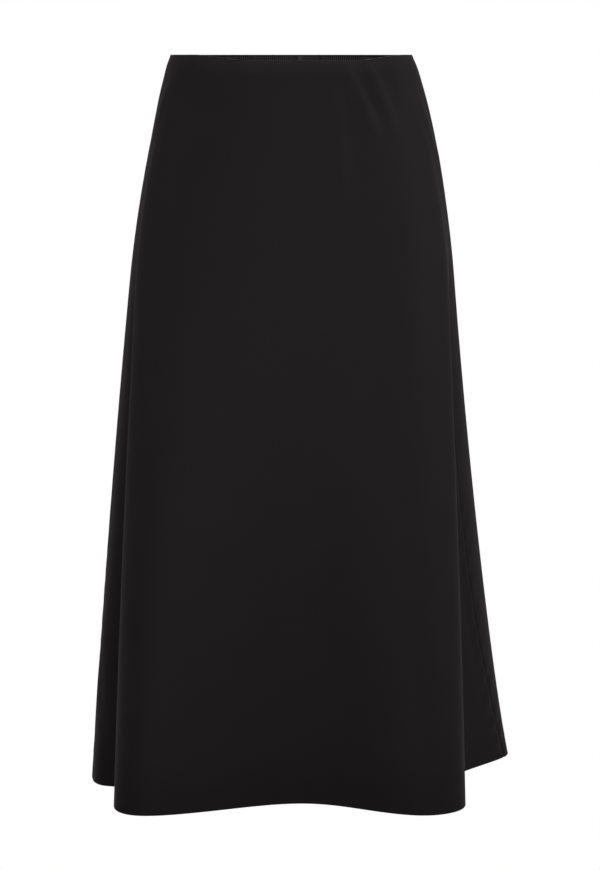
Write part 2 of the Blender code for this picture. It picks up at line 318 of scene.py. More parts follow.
def skin(u, drop, depth=0.0, drags=True, small=True):
    """A point at a depth inside the outer face, square to it."""
    step_u, step_drop = 0.02, 1 * MM
    u, drop = np.broadcast_arrays(np.asarray(u, dtype=float), np.asarray(drop, dtype=float))
    round_way = cloth(u + step_u, drop, drags) - cloth(u - step_u, drop, drags)
    down_way = cloth(u, drop + step_drop, drags) - cloth(u, drop - step_drop, drags)
    out = unit(np.cross(down_way, round_way))
    rise = -np.broadcast_to(np.asarray(depth, dtype=float), drop.shape)
    if small:
        rise = rise + relief(u, drop, np.linalg.norm(round_way, axis=-1) / (2 * step_u))
    return cloth(u, drop, drags) + out * rise[..., None]


# %% [markdown]
# ## Mesh helpers
# Cloth is made as a grid of points that follows the path of the real fabric, then given its
# thickness with a Solidify modifier. The finished mesh is stored plain, with a UV map in
# metres that runs along the cloth, so that the knit follows every fold.

# %% Helpers that make plain meshes


def new_piece(name, mesh, material=None):
    """A linked object at the origin, with its one material."""
    piece = bpy.data.objects.new(name, mesh)
    bpy.context.collection.objects.link(piece)
    if material is not None:
        mesh.materials.clear()
        mesh.materials.append(material)
    return piece


def bake_modifiers(piece):
    """The evaluated form as a plain mesh, with no modifier left on the piece."""
    bpy.context.view_layer.update()
    shaped = piece.evaluated_get(bpy.context.evaluated_depsgraph_get())
    mesh = bpy.data.meshes.new_from_object(shaped)
    old = piece.data
    piece.modifiers.clear()
    piece.data = mesh
    bpy.data.meshes.remove(old)
    mesh.name = piece.name
    return piece


def grid_mesh(name, points, uv):
    """A smooth sheet from rows of points, with uv in metres along the cloth."""
    rows, columns = points.shape[:2]
    index = np.arange(rows * columns).reshape(rows, columns)
    quads = np.stack([index[:-1, :-1], index[1:, :-1], index[1:, 1:], index[:-1, 1:]], -1)
    quads = quads.reshape(-1, 4)
    mesh = bpy.data.meshes.new(name)
    mesh.from_pydata(points.reshape(-1, 3).tolist(), [], quads.tolist())
    layer = mesh.uv_layers.new(name="cloth")
    layer.data.foreach_set("uv", uv.reshape(-1, 2)[quads.reshape(-1)].ravel())
    mesh.shade_smooth()
    return mesh


def cloth_uv(points):
    """Metres across from the middle column, and metres along the path of the cloth."""
    step = np.linalg.norm(np.diff(points, axis=1), axis=-1)
    across = np.concatenate([np.zeros((len(points), 1)), np.cumsum(step, axis=1)], axis=1)
    across = across - across[:, [points.shape[1] // 2]]
    down = np.linalg.norm(np.diff(points, axis=0), axis=-1).mean(axis=1)
    down = np.concatenate([[0], np.cumsum(down)])
    return np.stack([across, np.broadcast_to(down[:, None], across.shape)], -1)


def thicken(piece, thickness):
    """Gives a sheet its thickness, inwards from the face it was drawn on."""
    solidify = piece.modifiers.new("cloth thickness", "SOLIDIFY")
    solidify.thickness = thickness
    solidify.offset = -1
    solidify.use_even_offset = True
    solidify.thickness_clamp = 0
    return bake_modifiers(piece)


def triangles(piece):
    return sum(len(face.vertices) - 2 for face in piece.data.polygons)


# %% [markdown]
# ## Materials
# Black cloth is never one flat black: the knit breaks the light up, the dye is uneven by a few
# per cent, and fine fibre ends catch the light at a grazing angle. The knit is a node group
# that reads the UV map, because it is used by the panels, the tape and the elastic alike.

# %% A node group for knitted and woven grain
WOBBLE_SCALE, FUZZ_SCALE = 260, 1900        # features per metre of cloth
WALE_WOBBLE, COURSE_WOBBLE = 1.1, 0.8       # how far rows stray, in pitches
RIDGE_HEIGHT, LOOP_HEIGHT = 0.30, 0.22
CLOUD_SHARE, GRAIN_SHARE = 0.6, 0.4         # of uneven dye and of grain in the shade


def math_node(tree, operation, first, second=None):
    """One sum, in a shader tree or a Geometry Nodes tree, of numbers or sockets."""
    node = tree.nodes.new("ShaderNodeMath")
    node.operation = operation
    for socket, value in zip(node.inputs, (first, second)):
        if value is None:
            continue
        if isinstance(value, (int, float)):
            socket.default_value = value
        else:
            tree.links.new(value, socket)
    return node.outputs[0]


def make_grain_group():
    """Height and shade of fine ribs and courses, with fuzz; pitches are in metres."""
    tree = bpy.data.node_groups.new("fabric_grain", "ShaderNodeTree")
    face = tree.interface
    face.new_socket("Place", in_out="INPUT", socket_type="NodeSocketVector")
    for name, value in (("Wale pitch", 0.0009), ("Course pitch", 0.0007), ("Fuzz", 0.5),
                        ("Cloud size", 0.05)):
        face.new_socket(name, in_out="INPUT", socket_type="NodeSocketFloat").default_value = value
    face.new_socket("Height", in_out="OUTPUT", socket_type="NodeSocketFloat")
    face.new_socket("Shade", in_out="OUTPUT", socket_type="NodeSocketFloat")
    inside = tree.nodes.new("NodeGroupInput")
    outside = tree.nodes.new("NodeGroupOutput")
    split = tree.nodes.new("ShaderNodeSeparateXYZ")
    tree.links.new(inside.outputs["Place"], split.inputs[0])
    turn = 2 * math.pi
    wale = math_node(tree, "DIVIDE", split.outputs["X"], inside.outputs["Wale pitch"])
    course = math_node(tree, "DIVIDE", split.outputs["Y"], inside.outputs["Course pitch"])
    wobble = tree.nodes.new("ShaderNodeTexNoise")
    wobble.inputs["Scale"].default_value = WOBBLE_SCALE
    wobble.inputs["Detail"].default_value = 1
    tree.links.new(inside.outputs["Place"], wobble.inputs["Vector"])
    wale = math_node(tree, "ADD", wale,
                     math_node(tree, "MULTIPLY", wobble.outputs[0], WALE_WOBBLE))
    course = math_node(tree, "ADD", course,
                       math_node(tree, "MULTIPLY", wobble.outputs[0], COURSE_WOBBLE))
    ridge = math_node(tree, "SINE", math_node(tree, "MULTIPLY", wale, turn))
    loop = math_node(tree, "SINE", math_node(tree, "MULTIPLY", course, turn))
    crossed = math_node(tree, "MULTIPLY", ridge, loop)
    knit = math_node(tree, "ADD", math_node(tree, "MULTIPLY", ridge, RIDGE_HEIGHT),
                     math_node(tree, "MULTIPLY", crossed, LOOP_HEIGHT))
    fuzz = tree.nodes.new("ShaderNodeTexNoise")
    fuzz.inputs["Scale"].default_value = FUZZ_SCALE
    fuzz.inputs["Detail"].default_value = 2
    tree.links.new(inside.outputs["Place"], fuzz.inputs["Vector"])
    rough = math_node(tree, "MULTIPLY", math_node(tree, "SUBTRACT", fuzz.outputs[0], 0.5),
                      inside.outputs["Fuzz"])
    height = math_node(tree, "ADD", math_node(tree, "ADD", knit, 0.5), rough)
    tree.links.new(height, outside.inputs["Height"])
    cloud = tree.nodes.new("ShaderNodeTexNoise")
    cloud.inputs["Detail"].default_value = 3
    tree.links.new(math_node(tree, "DIVIDE", 1.0, inside.outputs["Cloud size"]),
                   cloud.inputs["Scale"])
    tree.links.new(inside.outputs["Place"], cloud.inputs["Vector"])
    shade = math_node(tree, "ADD", math_node(tree, "MULTIPLY", cloud.outputs[0], CLOUD_SHARE),
                      math_node(tree, "MULTIPLY", height, GRAIN_SHARE))
    tree.links.new(shade, outside.inputs["Shade"])
    return tree


GRAIN = make_grain_group()
print("grain", [socket.name for socket in GRAIN.interface.items_tree])

# %% A fabric material
WARM = (1.0, 0.86, 0.90, 1)         # black dye that leans a little to brown
SPECULAR = 0.28
ROUGHNESS_SPREAD = 0.06
BUMP_STRENGTH = 0.8
DARK_AT, LIGHT_AT = 0.28, 0.72      # the shades at which the grain reaches its two colours


def fabric(name, dark, light, roughness, sheen, sheen_roughness, wale, course, depth, fuzz=0.5,
           cloud=0.05, uv="cloth"):
    """A fabric material: colours vary from dark to light, depth is the height of the grain."""
    material = bpy.data.materials.new(name)
    material.use_nodes = True
    tree = material.node_tree
    shader = tree.nodes["Principled BSDF"]
    shader.inputs["Sheen Weight"].default_value = sheen
    shader.inputs["Sheen Roughness"].default_value = sheen_roughness
    shader.inputs["Specular IOR Level"].default_value = SPECULAR
    shader.inputs["Specular Tint"].default_value = WARM
    shader.inputs["Sheen Tint"].default_value = WARM
    place = tree.nodes.new("ShaderNodeUVMap" if uv else "ShaderNodeTexCoord")
    place.name = "cloth place"
    if uv:
        place.uv_map = uv
    source = place.outputs["UV"] if uv else place.outputs["Object"]
    grain = tree.nodes.new("ShaderNodeGroup")
    grain.node_tree = GRAIN
    grain.inputs["Wale pitch"].default_value = wale
    grain.inputs["Course pitch"].default_value = course
    grain.inputs["Fuzz"].default_value = fuzz
    grain.inputs["Cloud size"].default_value = cloud
    tree.links.new(source, grain.inputs["Place"])
    ramp = tree.nodes.new("ShaderNodeValToRGB")
    for stop, at, colour in zip(ramp.color_ramp.elements, (DARK_AT, LIGHT_AT), (dark, light)):
        stop.position = at
        stop.color = (*colour, 1)
    tree.links.new(grain.outputs["Shade"], ramp.inputs[0])
    tree.links.new(ramp.outputs[0], shader.inputs["Base Color"])
    spread = tree.nodes.new("ShaderNodeMapRange")
    spread.inputs["To Min"].default_value = roughness - ROUGHNESS_SPREAD
    spread.inputs["To Max"].default_value = roughness + ROUGHNESS_SPREAD
    tree.links.new(grain.outputs["Shade"], spread.inputs["Value"])
    tree.links.new(spread.outputs[0], shader.inputs["Roughness"])
    bump = tree.nodes.new("ShaderNodeBump")
    bump.inputs["Strength"].default_value = BUMP_STRENGTH
    bump.inputs["Distance"].default_value = depth
    tree.links.new(grain.outputs["Height"], bump.inputs["Height"])
    tree.links.new(bump.outputs[0], shader.inputs["Normal"])
    return material


def shade_along(material, start, end, first, last):
    """Paints light or shade into the colour, scaling it from first to last between two lengths
    along the cloth's own path.
    """
    tree = material.node_tree
    shader = tree.nodes["Principled BSDF"]
    split = tree.nodes.new("ShaderNodeSeparateXYZ")
    tree.links.new(tree.nodes["cloth place"].outputs["UV"], split.inputs[0])
    fade = tree.nodes.new("ShaderNodeMapRange")
    fade.interpolation_type = "SMOOTHSTEP"
    limits = {"From Min": start, "From Max": end, "To Min": first, "To Max": last}
    for socket, value in limits.items():
        fade.inputs[socket].default_value = value
    tree.links.new(split.outputs["Y"], fade.inputs["Value"])
    scale = tree.nodes.new("ShaderNodeVectorMath")
    scale.operation = "SCALE"
    tree.links.new(shader.inputs["Base Color"].links[0].from_socket, scale.inputs[0])
    tree.links.new(fade.outputs[0], scale.inputs["Scale"])
    tree.links.new(scale.outputs[0], shader.inputs["Base Color"])


# %% Cloth, elastic, tape and thread
CLOTH = fabric("black_cloth", (0.0108, 0.0090, 0.0095), (0.0150, 0.0127, 0.0134), 0.66,
               sheen=0.14, sheen_roughness=0.40, wale=0.0009, course=0.0007, depth=0.00009)
SEAM_CLOTH = CLOTH.copy()
SEAM_CLOTH.name = "black_seam_cloth"
# Painted highlight: the cloth just below the waist edge is painted lighter, where it turns up over
# the elastic and catches the light.
PAINTED_HIGHLIGHT_START, PAINTED_HIGHLIGHT_END = 0.0115, 0.0310     # metres along the cloth, just below the waist edge
PAINTED_HIGHLIGHT_GAIN = 1.75
shade_along(CLOTH, PAINTED_HIGHLIGHT_START, PAINTED_HIGHLIGHT_END, PAINTED_HIGHLIGHT_GAIN, 1.0)
ELASTIC = fabric("black_elastic", (0.0055, 0.0049, 0.0051), (0.0115, 0.0103, 0.0107), 0.8,
                 sheen=0.0, sheen_roughness=0.5, wale=0.0021, course=0.0009, depth=0.00012)
# The ribs are the same black elastic as the band, painted many times lighter: a painted highlight
# where they catch the light inside the waist.
RIB_PAINTED_HIGHLIGHT = fabric("black_elastic_rib_painted_highlight", (0.092, 0.083, 0.086), (0.150, 0.136, 0.141), 0.62,
             sheen=0.10, sheen_roughness=0.5, wale=0.0008, course=0.0006, depth=0.00010, uv=None)
TAPE = fabric("black_tape", (0.066, 0.060, 0.062), (0.088, 0.080, 0.083), 0.42,
              sheen=0.10, sheen_roughness=0.4, wale=0.0004, course=0.0004, depth=0.00003,
              fuzz=0.2)
# The folded edge of the tape, painted lighter than the tape: partly the satin side's own paler
# face, partly a painted highlight where the fold catches the light.
SATIN_PAINTED_HIGHLIGHT = fabric("black_tape_satin_painted_highlight", (0.120, 0.110, 0.114), (0.160, 0.148, 0.153), 0.34,
               sheen=0.10, sheen_roughness=0.4, wale=0.0004, course=0.0004, depth=0.00003,
               fuzz=0.2)
THREAD = fabric("black_thread", (0.013, 0.012, 0.0125), (0.022, 0.0205, 0.021), 0.55,
                sheen=0.10, sheen_roughness=0.4, wale=0.0003, course=0.0003, depth=0.00003,
                uv=None)
print("materials", [m.name for m in (CLOTH, SEAM_CLOTH, ELASTIC, RIB_PAINTED_HIGHLIGHT, TAPE, SATIN_PAINTED_HIGHLIGHT, THREAD)])

# %% [markdown]
# ## The two panels
# Each panel is one length of cloth. Its path starts behind the elastic, rolls over the waist
# edge, runs down the outside, rolls round the hem and goes a little way up the inside. A grid
# that follows that path gives a soft rolled edge at the waist and at the hem, as on the real
# skirt, where a plain cut edge would look like card. The cloth just below the waist edge is
# painted a little lighter, a painted highlight, and the cloth near the hem is painted a little
# darker, a painted shade. Both are set by the length along the cloth.

# %% The path of the cloth and the columns of the grid
CLOTH_WALL = 0.75 * MM
ROLL = 0.85 * MM                    # radius of the rolled waist edge and hem
HEM_DEPTH = 28 * MM
WAIST_TURN = 9 * MM
ROLL_STEPS = 5
#  rows of the grid between the two rolls: from, to, how many
ROW_SPANS = [
    (0.004,  0.13,            30),
    (0.13,   0.43,            56),
    (0.43,   LENGTH - 0.006, 128),
]
ABOVE_HEM_ROLL = (0.006, 0.004, 0.0022)
UP_THE_INSIDE = (3 * MM, 7 * MM, 12 * MM, 18 * MM, 24 * MM, HEM_DEPTH - 1 * MM, HEM_DEPTH)
EDGE_TUCK = 0.0001                  # the raw edge of the hem lies this much closer


def panel_path():
    """Depth below the waist edge, and depth inside the outer face, along the cloth."""
    path = [(WAIST_TURN, 2 * ROLL), (WAIST_TURN / 2, 2 * ROLL)]
    for k in range(ROLL_STEPS + 1):
        turn = math.pi * k / ROLL_STEPS
        path.append((ROLL * (1 - math.sin(turn)), ROLL * (1 + math.cos(turn))))
    for start, end, count in ROW_SPANS:
        path += [(drop, 0.0) for drop in np.linspace(start, end, count, endpoint=False)]
    path += [(LENGTH - up, 0.0) for up in ABOVE_HEM_ROLL]
    for k in range(ROLL_STEPS + 1):
        turn = math.pi * k / ROLL_STEPS
        path.append((LENGTH - ROLL * (1 - math.sin(turn)), ROLL * (1 - math.cos(turn))))
    for up in UP_THE_INSIDE:
        path.append((LENGTH - up, 2 * ROLL - EDGE_TUCK * (up >= HEM_DEPTH)))
    return np.array(path)


SEAM_COLUMNS = np.array([0.02, 0.5, 1.0, 1.7, 2.6, 3.8, 5.4, 7.6, 10.4]) * MM
PANEL_COLUMNS = 150
print("grid", len(panel_path()), "rows by", PANEL_COLUMNS + 2 * len(SEAM_COLUMNS), "columns")

# %% Make the two panels


def panel_columns(first, last, drop):
    """Line positions across one row: close together at the seams, then evenly spread."""
    u = np.linspace(first, last, 1200)
    points = cloth(u, np.full_like(u, drop))
    length = length_along(points)
    left = np.interp(SEAM_COLUMNS, length, u)
    right = np.interp(length[-1] - SEAM_COLUMNS, length, u)[::-1]
    between = np.linspace(left[-1], right[0], PANEL_COLUMNS + 2)[1:-1]
    return np.concatenate([left, between, right])


def make_panel(name, first, last):
    """One panel from seam line to seam line, with its own turned waist edge and hem."""
    path = panel_path()
    u = np.array([panel_columns(first, last, drop) for drop in path[:, 0]])
    drop = np.broadcast_to(path[:, :1], u.shape)
    depth = np.broadcast_to(path[:, 1:], u.shape)
    points = skin(u, drop, depth)
    piece = new_piece(name, grid_mesh(name, points, cloth_uv(points)), CLOTH)
    flat = sum(face.area for face in piece.data.polygons)
    thicken(piece, CLOTH_WALL)
    print(f"{name}: {flat:.4f} square metres of cloth, {triangles(piece)} triangles")
    return piece


front_cloth = make_panel("front_cloth", LEFT_SEAM - len(LINES), RIGHT_SEAM)
back_cloth = make_panel("back_cloth", RIGHT_SEAM, LEFT_SEAM)

# %% Painted shade near the hem
# Painted shade: the cloth is painted darker towards the hem, where less light falls.
PAINTED_HEM_SHADE, PAINTED_HEM_SHADE_HEIGHT, PAINTED_HEM_SHADE_FULL = 0.70, 75 * MM, 12 * MM
hem_turn = float(np.mean([max(spot.uv[1] for spot in piece.data.uv_layers["cloth"].data)
                          for piece in (front_cloth, back_cloth)])) - HEM_DEPTH
shade_along(CLOTH, hem_turn - PAINTED_HEM_SHADE_HEIGHT, hem_turn - PAINTED_HEM_SHADE_FULL, 1.0, PAINTED_HEM_SHADE)
print("cloth from the inner edge to the hem", round(hem_turn, 4))

# %% [markdown]
# ## Seam allowances inside the side seams
# Inside each side seam the two edges of cloth are neatened together and pressed to the back.
# They start below the elastic and end under the hem. From outside they only show as the seam,
# but anyone who looks in from the hem sees them.

# %% Two seam allowances
ALLOWANCE_WIDTH = 9 * MM
ALLOWANCE_WALL = 1.2 * MM
ALLOWANCE_ROW = 3.2 * MM
FROM_SEAM = np.array([0.3, 1.5, 3.0, 5.0, 7.0, 9.0]) * MM
LIFT = np.array([0.95, 0.9, 0.95, 1.0, 1.1, 1.25]) * MM     # the free edge stands off a little
CLEAR = 1 * MM                      # left open below the elastic and above the hem's turning
ELASTIC_DROP, ELASTIC_HEIGHT = 1.0 * MM, 35 * MM


def beside_seam(seam, way, away, drop, depth):
    """Points at a distance from a seam, measured along the cloth towards the back."""
    step = 0.02
    near = cloth(seam + way * step, drop) - cloth(seam, drop)
    spread = np.linalg.norm(near, axis=-1) / step
    return skin(seam + way * away / spread, drop, depth)


def make_allowance(name, seam, way):
    """The pressed edges inside one seam; way is +1 or -1, towards the back."""
    drop = np.arange(ELASTIC_DROP + ELASTIC_HEIGHT + CLEAR, LENGTH - HEM_DEPTH - CLEAR,
                     ALLOWANCE_ROW)
    away, lift = FROM_SEAM, LIFT + ALLOWANCE_WALL
    if way < 0:
        away, lift = away[::-1], lift[::-1]
    drop_grid, away_grid = np.meshgrid(drop, away, indexing="ij")
    points = beside_seam(seam, way, away_grid, drop_grid, np.broadcast_to(lift, away_grid.shape))
    points = points[:, ::-1]
    piece = new_piece(name, grid_mesh(name, points, cloth_uv(points)), SEAM_CLOTH)
    return thicken(piece, ALLOWANCE_WALL)


allowance_right = make_allowance("allowance_right", RIGHT_SEAM, 1)
allowance_left = make_allowance("allowance_left", LEFT_SEAM, -1)
print("allowances", triangles(allowance_right), triangles(allowance_left))

# %% [markdown]
# ## Stitches
# A stitch is a short arch of thread. Hundreds of them follow each edge, so one Geometry Nodes
# tree makes them all: it lays a small arch on every point it is given, turned by two
# directions stored on the point. The tree ends in real geometry, not instances.

# %% Helpers for Geometry Nodes trees


def add_node(tree, kind, **inputs):
    """A node with its inputs set or linked by name, with _ for a space."""
    node = tree.nodes.new(kind)
    for name, value in inputs.items():
        socket = node.inputs[name.replace("_", " ")]
        if isinstance(value, bpy.types.NodeSocket):
            tree.links.new(value, socket)
        else:
            socket.default_value = value
    return node


def vector_of(tree, x=None, y=None, z=None):
    """A vector from the sockets given; the rest stay 0."""
    node = tree.nodes.new("ShaderNodeCombineXYZ")
    for socket, value in zip(node.inputs, (x, y, z)):
        if value is not None:
            tree.links.new(value, socket)
    return node.outputs[0]


def start_tree(name, sizes):
    """A tree with a geometry input and output, a material and named sizes."""
    tree = bpy.data.node_groups.new(name, "GeometryNodeTree")
    face = tree.interface
    face.new_socket("Geometry", in_out="INPUT", socket_type="NodeSocketGeometry")
    for size, value in sizes.items():
        face.new_socket(size, in_out="INPUT", socket_type="NodeSocketFloat").default_value = value
    face.new_socket("Material", in_out="INPUT", socket_type="NodeSocketMaterial")
    face.new_socket("Geometry", in_out="OUTPUT", socket_type="NodeSocketGeometry")
    return tree, tree.nodes.new("NodeGroupInput"), tree.nodes.new("NodeGroupOutput")


def lay_on_points(tree, given, shape, result, primary, secondary):
    """Puts a shape on every point, turned by the point's own two directions."""
    turn = tree.nodes.new("FunctionNodeAxesToRotation")
    turn.primary_axis, turn.secondary_axis = primary[0], secondary[0]
    for socket, (_, attribute) in zip(turn.inputs, (primary, secondary)):
        named = tree.nodes.new("GeometryNodeInputNamedAttribute")
        named.data_type = "FLOAT_VECTOR"
        named.inputs["Name"].default_value = attribute
        tree.links.new(named.outputs[0], socket)
    laid = add_node(tree, "GeometryNodeInstanceOnPoints", Points=given.outputs["Geometry"],
                    Instance=shape, Rotation=turn.outputs[0])
    real = add_node(tree, "GeometryNodeRealizeInstances", Geometry=laid.outputs[0])
    smooth = add_node(tree, "GeometryNodeSetShadeSmooth", Geometry=real.outputs[0])
    coloured = add_node(tree, "GeometryNodeSetMaterial", Geometry=smooth.outputs[0],
                        Material=given.outputs["Material"])
    tree.links.new(coloured.outputs[0], result.inputs["Geometry"])


# %% A tree that lays a stitch on every point


def make_stitch_tree():
    """A stitch is an arched thread that runs along X and stands up along Z."""
    tree, given, result = start_tree("stitch_run", {"Stitch length": 0.003,
                                                    "Thread width": 0.0004, "Arch": 0.0003})
    half = math_node(tree, "MULTIPLY", given.outputs["Stitch length"], 0.5)
    back = math_node(tree, "MULTIPLY", given.outputs["Stitch length"], -0.5)
    top = math_node(tree, "MULTIPLY", given.outputs["Arch"], 2.0)
    arch = add_node(tree, "GeometryNodeCurveQuadraticBezier", Resolution=5,
                    Start=vector_of(tree, x=back), Middle=vector_of(tree, z=top),
                    End=vector_of(tree, x=half))
    radius = math_node(tree, "MULTIPLY", given.outputs["Thread width"], 0.5)
    ring = add_node(tree, "GeometryNodeCurvePrimitiveCircle", Resolution=6, Radius=radius)
    tube = add_node(tree, "GeometryNodeCurveToMesh", Curve=arch.outputs[0],
                    Profile_Curve=ring.outputs[0], Fill_Caps=True)
    lay_on_points(tree, given, tube.outputs[0], result, ("Z", "out"), ("X", "along"))
    return tree


STITCH_RUN = make_stitch_tree()
print("stitch tree", len(STITCH_RUN.nodes), "nodes")

# %% A helper that runs a tree on points and keeps a plain mesh


def run_tree(name, tree, points, directions, material, **sizes):
    """Runs the tree on points that carry their directions; sizes are set by socket name."""
    mesh = bpy.data.meshes.new(name)
    mesh.from_pydata(np.asarray(points).reshape(-1, 3).tolist(), [], [])
    for label, vectors in directions.items():
        store = mesh.attributes.new(label, "FLOAT_VECTOR", "POINT")
        store.data.foreach_set("vector", np.asarray(vectors, dtype=np.float32).ravel())
    piece = new_piece(name, mesh)
    nodes = piece.modifiers.new(tree.name, "NODES")
    nodes.node_group = tree
    sockets = {s.name: s.identifier for s in tree.interface.items_tree if s.in_out == "INPUT"}
    nodes[sockets["Material"]] = material
    for label, value in sizes.items():
        nodes[sockets[label.replace("_", " ")]] = value
    bake_modifiers(piece)
    print(f"{name}: {triangles(piece)} triangles")
    return piece


# %% [markdown]
# ## Thread at the seams and the hem
# The raw edges of the allowances and of the turned-up hem are neatened with slanting thread,
# and the hem is caught to the cloth with small blind stitches that don't show outside.

# %% Overlocked edges
OVERLOCK_PITCH = 2.3 * MM
THREAD_ABOVE = 0.62 * MM            # thread lies this far above the allowance
SLANT_INNER, SLANT_OUTER, SLANT_DOWN = 4.5 * MM, 0.2 * MM, 0.9 * MM     # from the free edge
LINE_INNER = 5.0 * MM


def overlock_seam(name, seam, way):
    """Slanting stitches over the free edge of an allowance, and a line of thread beside it."""
    drop = np.arange(ELASTIC_DROP + ELASTIC_HEIGHT + 2 * CLEAR, LENGTH - HEM_DEPTH - 2 * CLEAR,
                     OVERLOCK_PITCH)
    over = np.full_like(drop, CLOTH_WALL + ALLOWANCE_WALL + THREAD_ABOVE)

    def at(from_edge, shift):
        away = np.full_like(drop, ALLOWANCE_WIDTH - from_edge)
        return beside_seam(seam, way, away, drop + shift, over)

    inner, outer = at(SLANT_INNER, 0), at(SLANT_OUTER, SLANT_DOWN)
    slanting = unit(outer - inner)
    beside, beyond = at(LINE_INNER, 0), at(LINE_INNER, 1 * MM)
    out = -unit(np.cross(beyond - beside, slanting)) * way
    points = np.concatenate([(inner + outer) / 2, beside])
    directions = {"along": np.concatenate([slanting, unit(beyond - beside)]),
                  "out": np.concatenate([out, out])}
    return run_tree(name, STITCH_RUN, points, directions, THREAD, Stitch_length=0.0042,
                    Thread_width=0.00038, Arch=0.0001)


thread_right = overlock_seam("thread_right_seam", RIGHT_SEAM, 1)
thread_left = overlock_seam("thread_left_seam", LEFT_SEAM, -1)

# %% Hem thread
HEM_THREAD_OVER = 0.1 * MM


def even_round(drop, pitch):
    """Line positions spaced evenly along the cloth, once round the skirt."""
    u = np.linspace(0, len(LINES), 3000)
    points = cloth(u, np.full_like(u, drop))
    length = length_along(points)
    count = int(length[-1] / pitch)
    return np.interp(np.arange(count) * length[-1] / count, length, u)


def hem_thread(name, up, pitch, slant, length, arch):
    """A row of stitches round the inside of the hem, at a height above its turn."""
    u = even_round(LENGTH - up, pitch)
    drop = np.full_like(u, LENGTH - up)
    depth = 2 * ROLL + HEM_THREAD_OVER
    here, ahead = skin(u, drop, depth), skin(u + 0.02, drop, depth)
    below, inward = skin(u, drop + 1 * MM, depth), skin(u, drop, depth + 1 * MM)
    run, down = unit(ahead - here), unit(below - here)
    way = unit(run * math.cos(slant) + down * math.sin(slant))
    return run_tree(name, STITCH_RUN, here, {"along": way, "out": unit(inward - here)}, THREAD,
                    Stitch_length=length, Thread_width=0.0004, Arch=arch)


hem_overlock = hem_thread("thread_hem_edge", up=HEM_DEPTH - 1.6 * MM, pitch=3.0 * MM,
                          slant=1.15, length=0.0036, arch=0.00012)
hem_blind = hem_thread("thread_hem_blind", up=HEM_DEPTH + 0.6 * MM, pitch=7.5 * MM,
                       slant=1.35, length=0.0030, arch=0.0002)

# %% [markdown]
# ## The elastic inside the waist
# The elastic is a woven ring with upright ribs. It is the one thing that shows behind the front
# edge of the waist. The plain ring is a closed band, and a Geometry Nodes tree stands a rounded
# rib on every point along it, leaning with the band.

# %% Points round the waist
ELASTIC_BACK, ELASTIC_WALL = 1.9 * MM, 1.15 * MM     # depth of its back inside the cloth
RIB_COUNT, RIB_WIDTH, RIB_RISE = 315, 1.15 * MM, 0.55 * MM


def waist_ring(drop, depth, count, shift=0.0):
    """Evenly spaced points round the waist at a depth inside the cloth, from centre back."""
    u = np.linspace(CENTRE_BACK, CENTRE_BACK + len(LINES), 1500)
    ring = skin(u, np.full_like(u, drop), np.full_like(u, depth), drags=False, small=False)
    length = length_along(ring)
    even = (np.arange(count) + shift) * length[-1] / count
    return np.stack([np.interp(even, length, ring[:, k]) for k in range(3)], -1)


BAND_STEPS = 360
band_ring = waist_ring(ELASTIC_DROP, ELASTIC_BACK, BAND_STEPS)
band_round = length_along(np.concatenate([band_ring, band_ring[:1]]))[-1]
print("round the elastic", round(float(band_round), 3), "metres,", RIB_COUNT, "ribs")

# %% The plain band


def make_band(name, count, round_off=0.3 * MM):
    """A closed ring whose section is a thin upright bar with its corners taken off."""
    top, low = ELASTIC_DROP, ELASTIC_DROP + ELASTIC_HEIGHT
    front, back = ELASTIC_BACK + ELASTIC_WALL, ELASTIC_BACK
    section = [(top + round_off, front), (top, front - round_off), (top, back + round_off),
               (top + round_off, back)]
    section += [(drop, back) for drop in np.linspace(top, low, 8)[1:-1]]
    section += [(low - round_off, back), (low, back + round_off), (low, front - round_off),
                (low - round_off, front)]
    section += [(drop, front) for drop in np.linspace(low, top, 8)[1:-1]]
    rings = np.array([waist_ring(drop, depth, count) for drop, depth in section])
    rows = len(section)
    index = np.arange(rows * count).reshape(rows, count)
    down, across = np.roll(index, -1, axis=0), np.roll(index, -1, axis=1)
    both = np.roll(down, -1, axis=1)
    quads = np.stack([index, across, both, down], -1).reshape(-1, 4)
    mesh = bpy.data.meshes.new(name)
    mesh.from_pydata(rings.reshape(-1, 3).tolist(), [], quads.tolist())
    layer = mesh.uv_layers.new(name="cloth")
    length = np.linalg.norm(rings[0] - np.roll(rings[0], 1, axis=0), axis=-1).sum()
    spots = np.zeros((rows, count, 2, 2))
    for r in range(rows):
        for side in (0, 1):
            spots[r, :, side, 0] = (np.arange(count) + side) * length / count
            spots[r, :, side, 1] = section[r][0]
    following = np.roll(spots, -1, axis=0)
    corners = np.stack([spots[:, :, 0], spots[:, :, 1], following[:, :, 1], following[:, :, 0]], 2)
    layer.data.foreach_set("uv", corners.ravel())
    mesh.shade_smooth()
    return new_piece(name, mesh, ELASTIC)


elastic_band = make_band("elastic_band", BAND_STEPS)

# %% The ribs
RIB_TOP_GAP, RIB_LOW_GAP = 0.2 * MM, 0.6 * MM


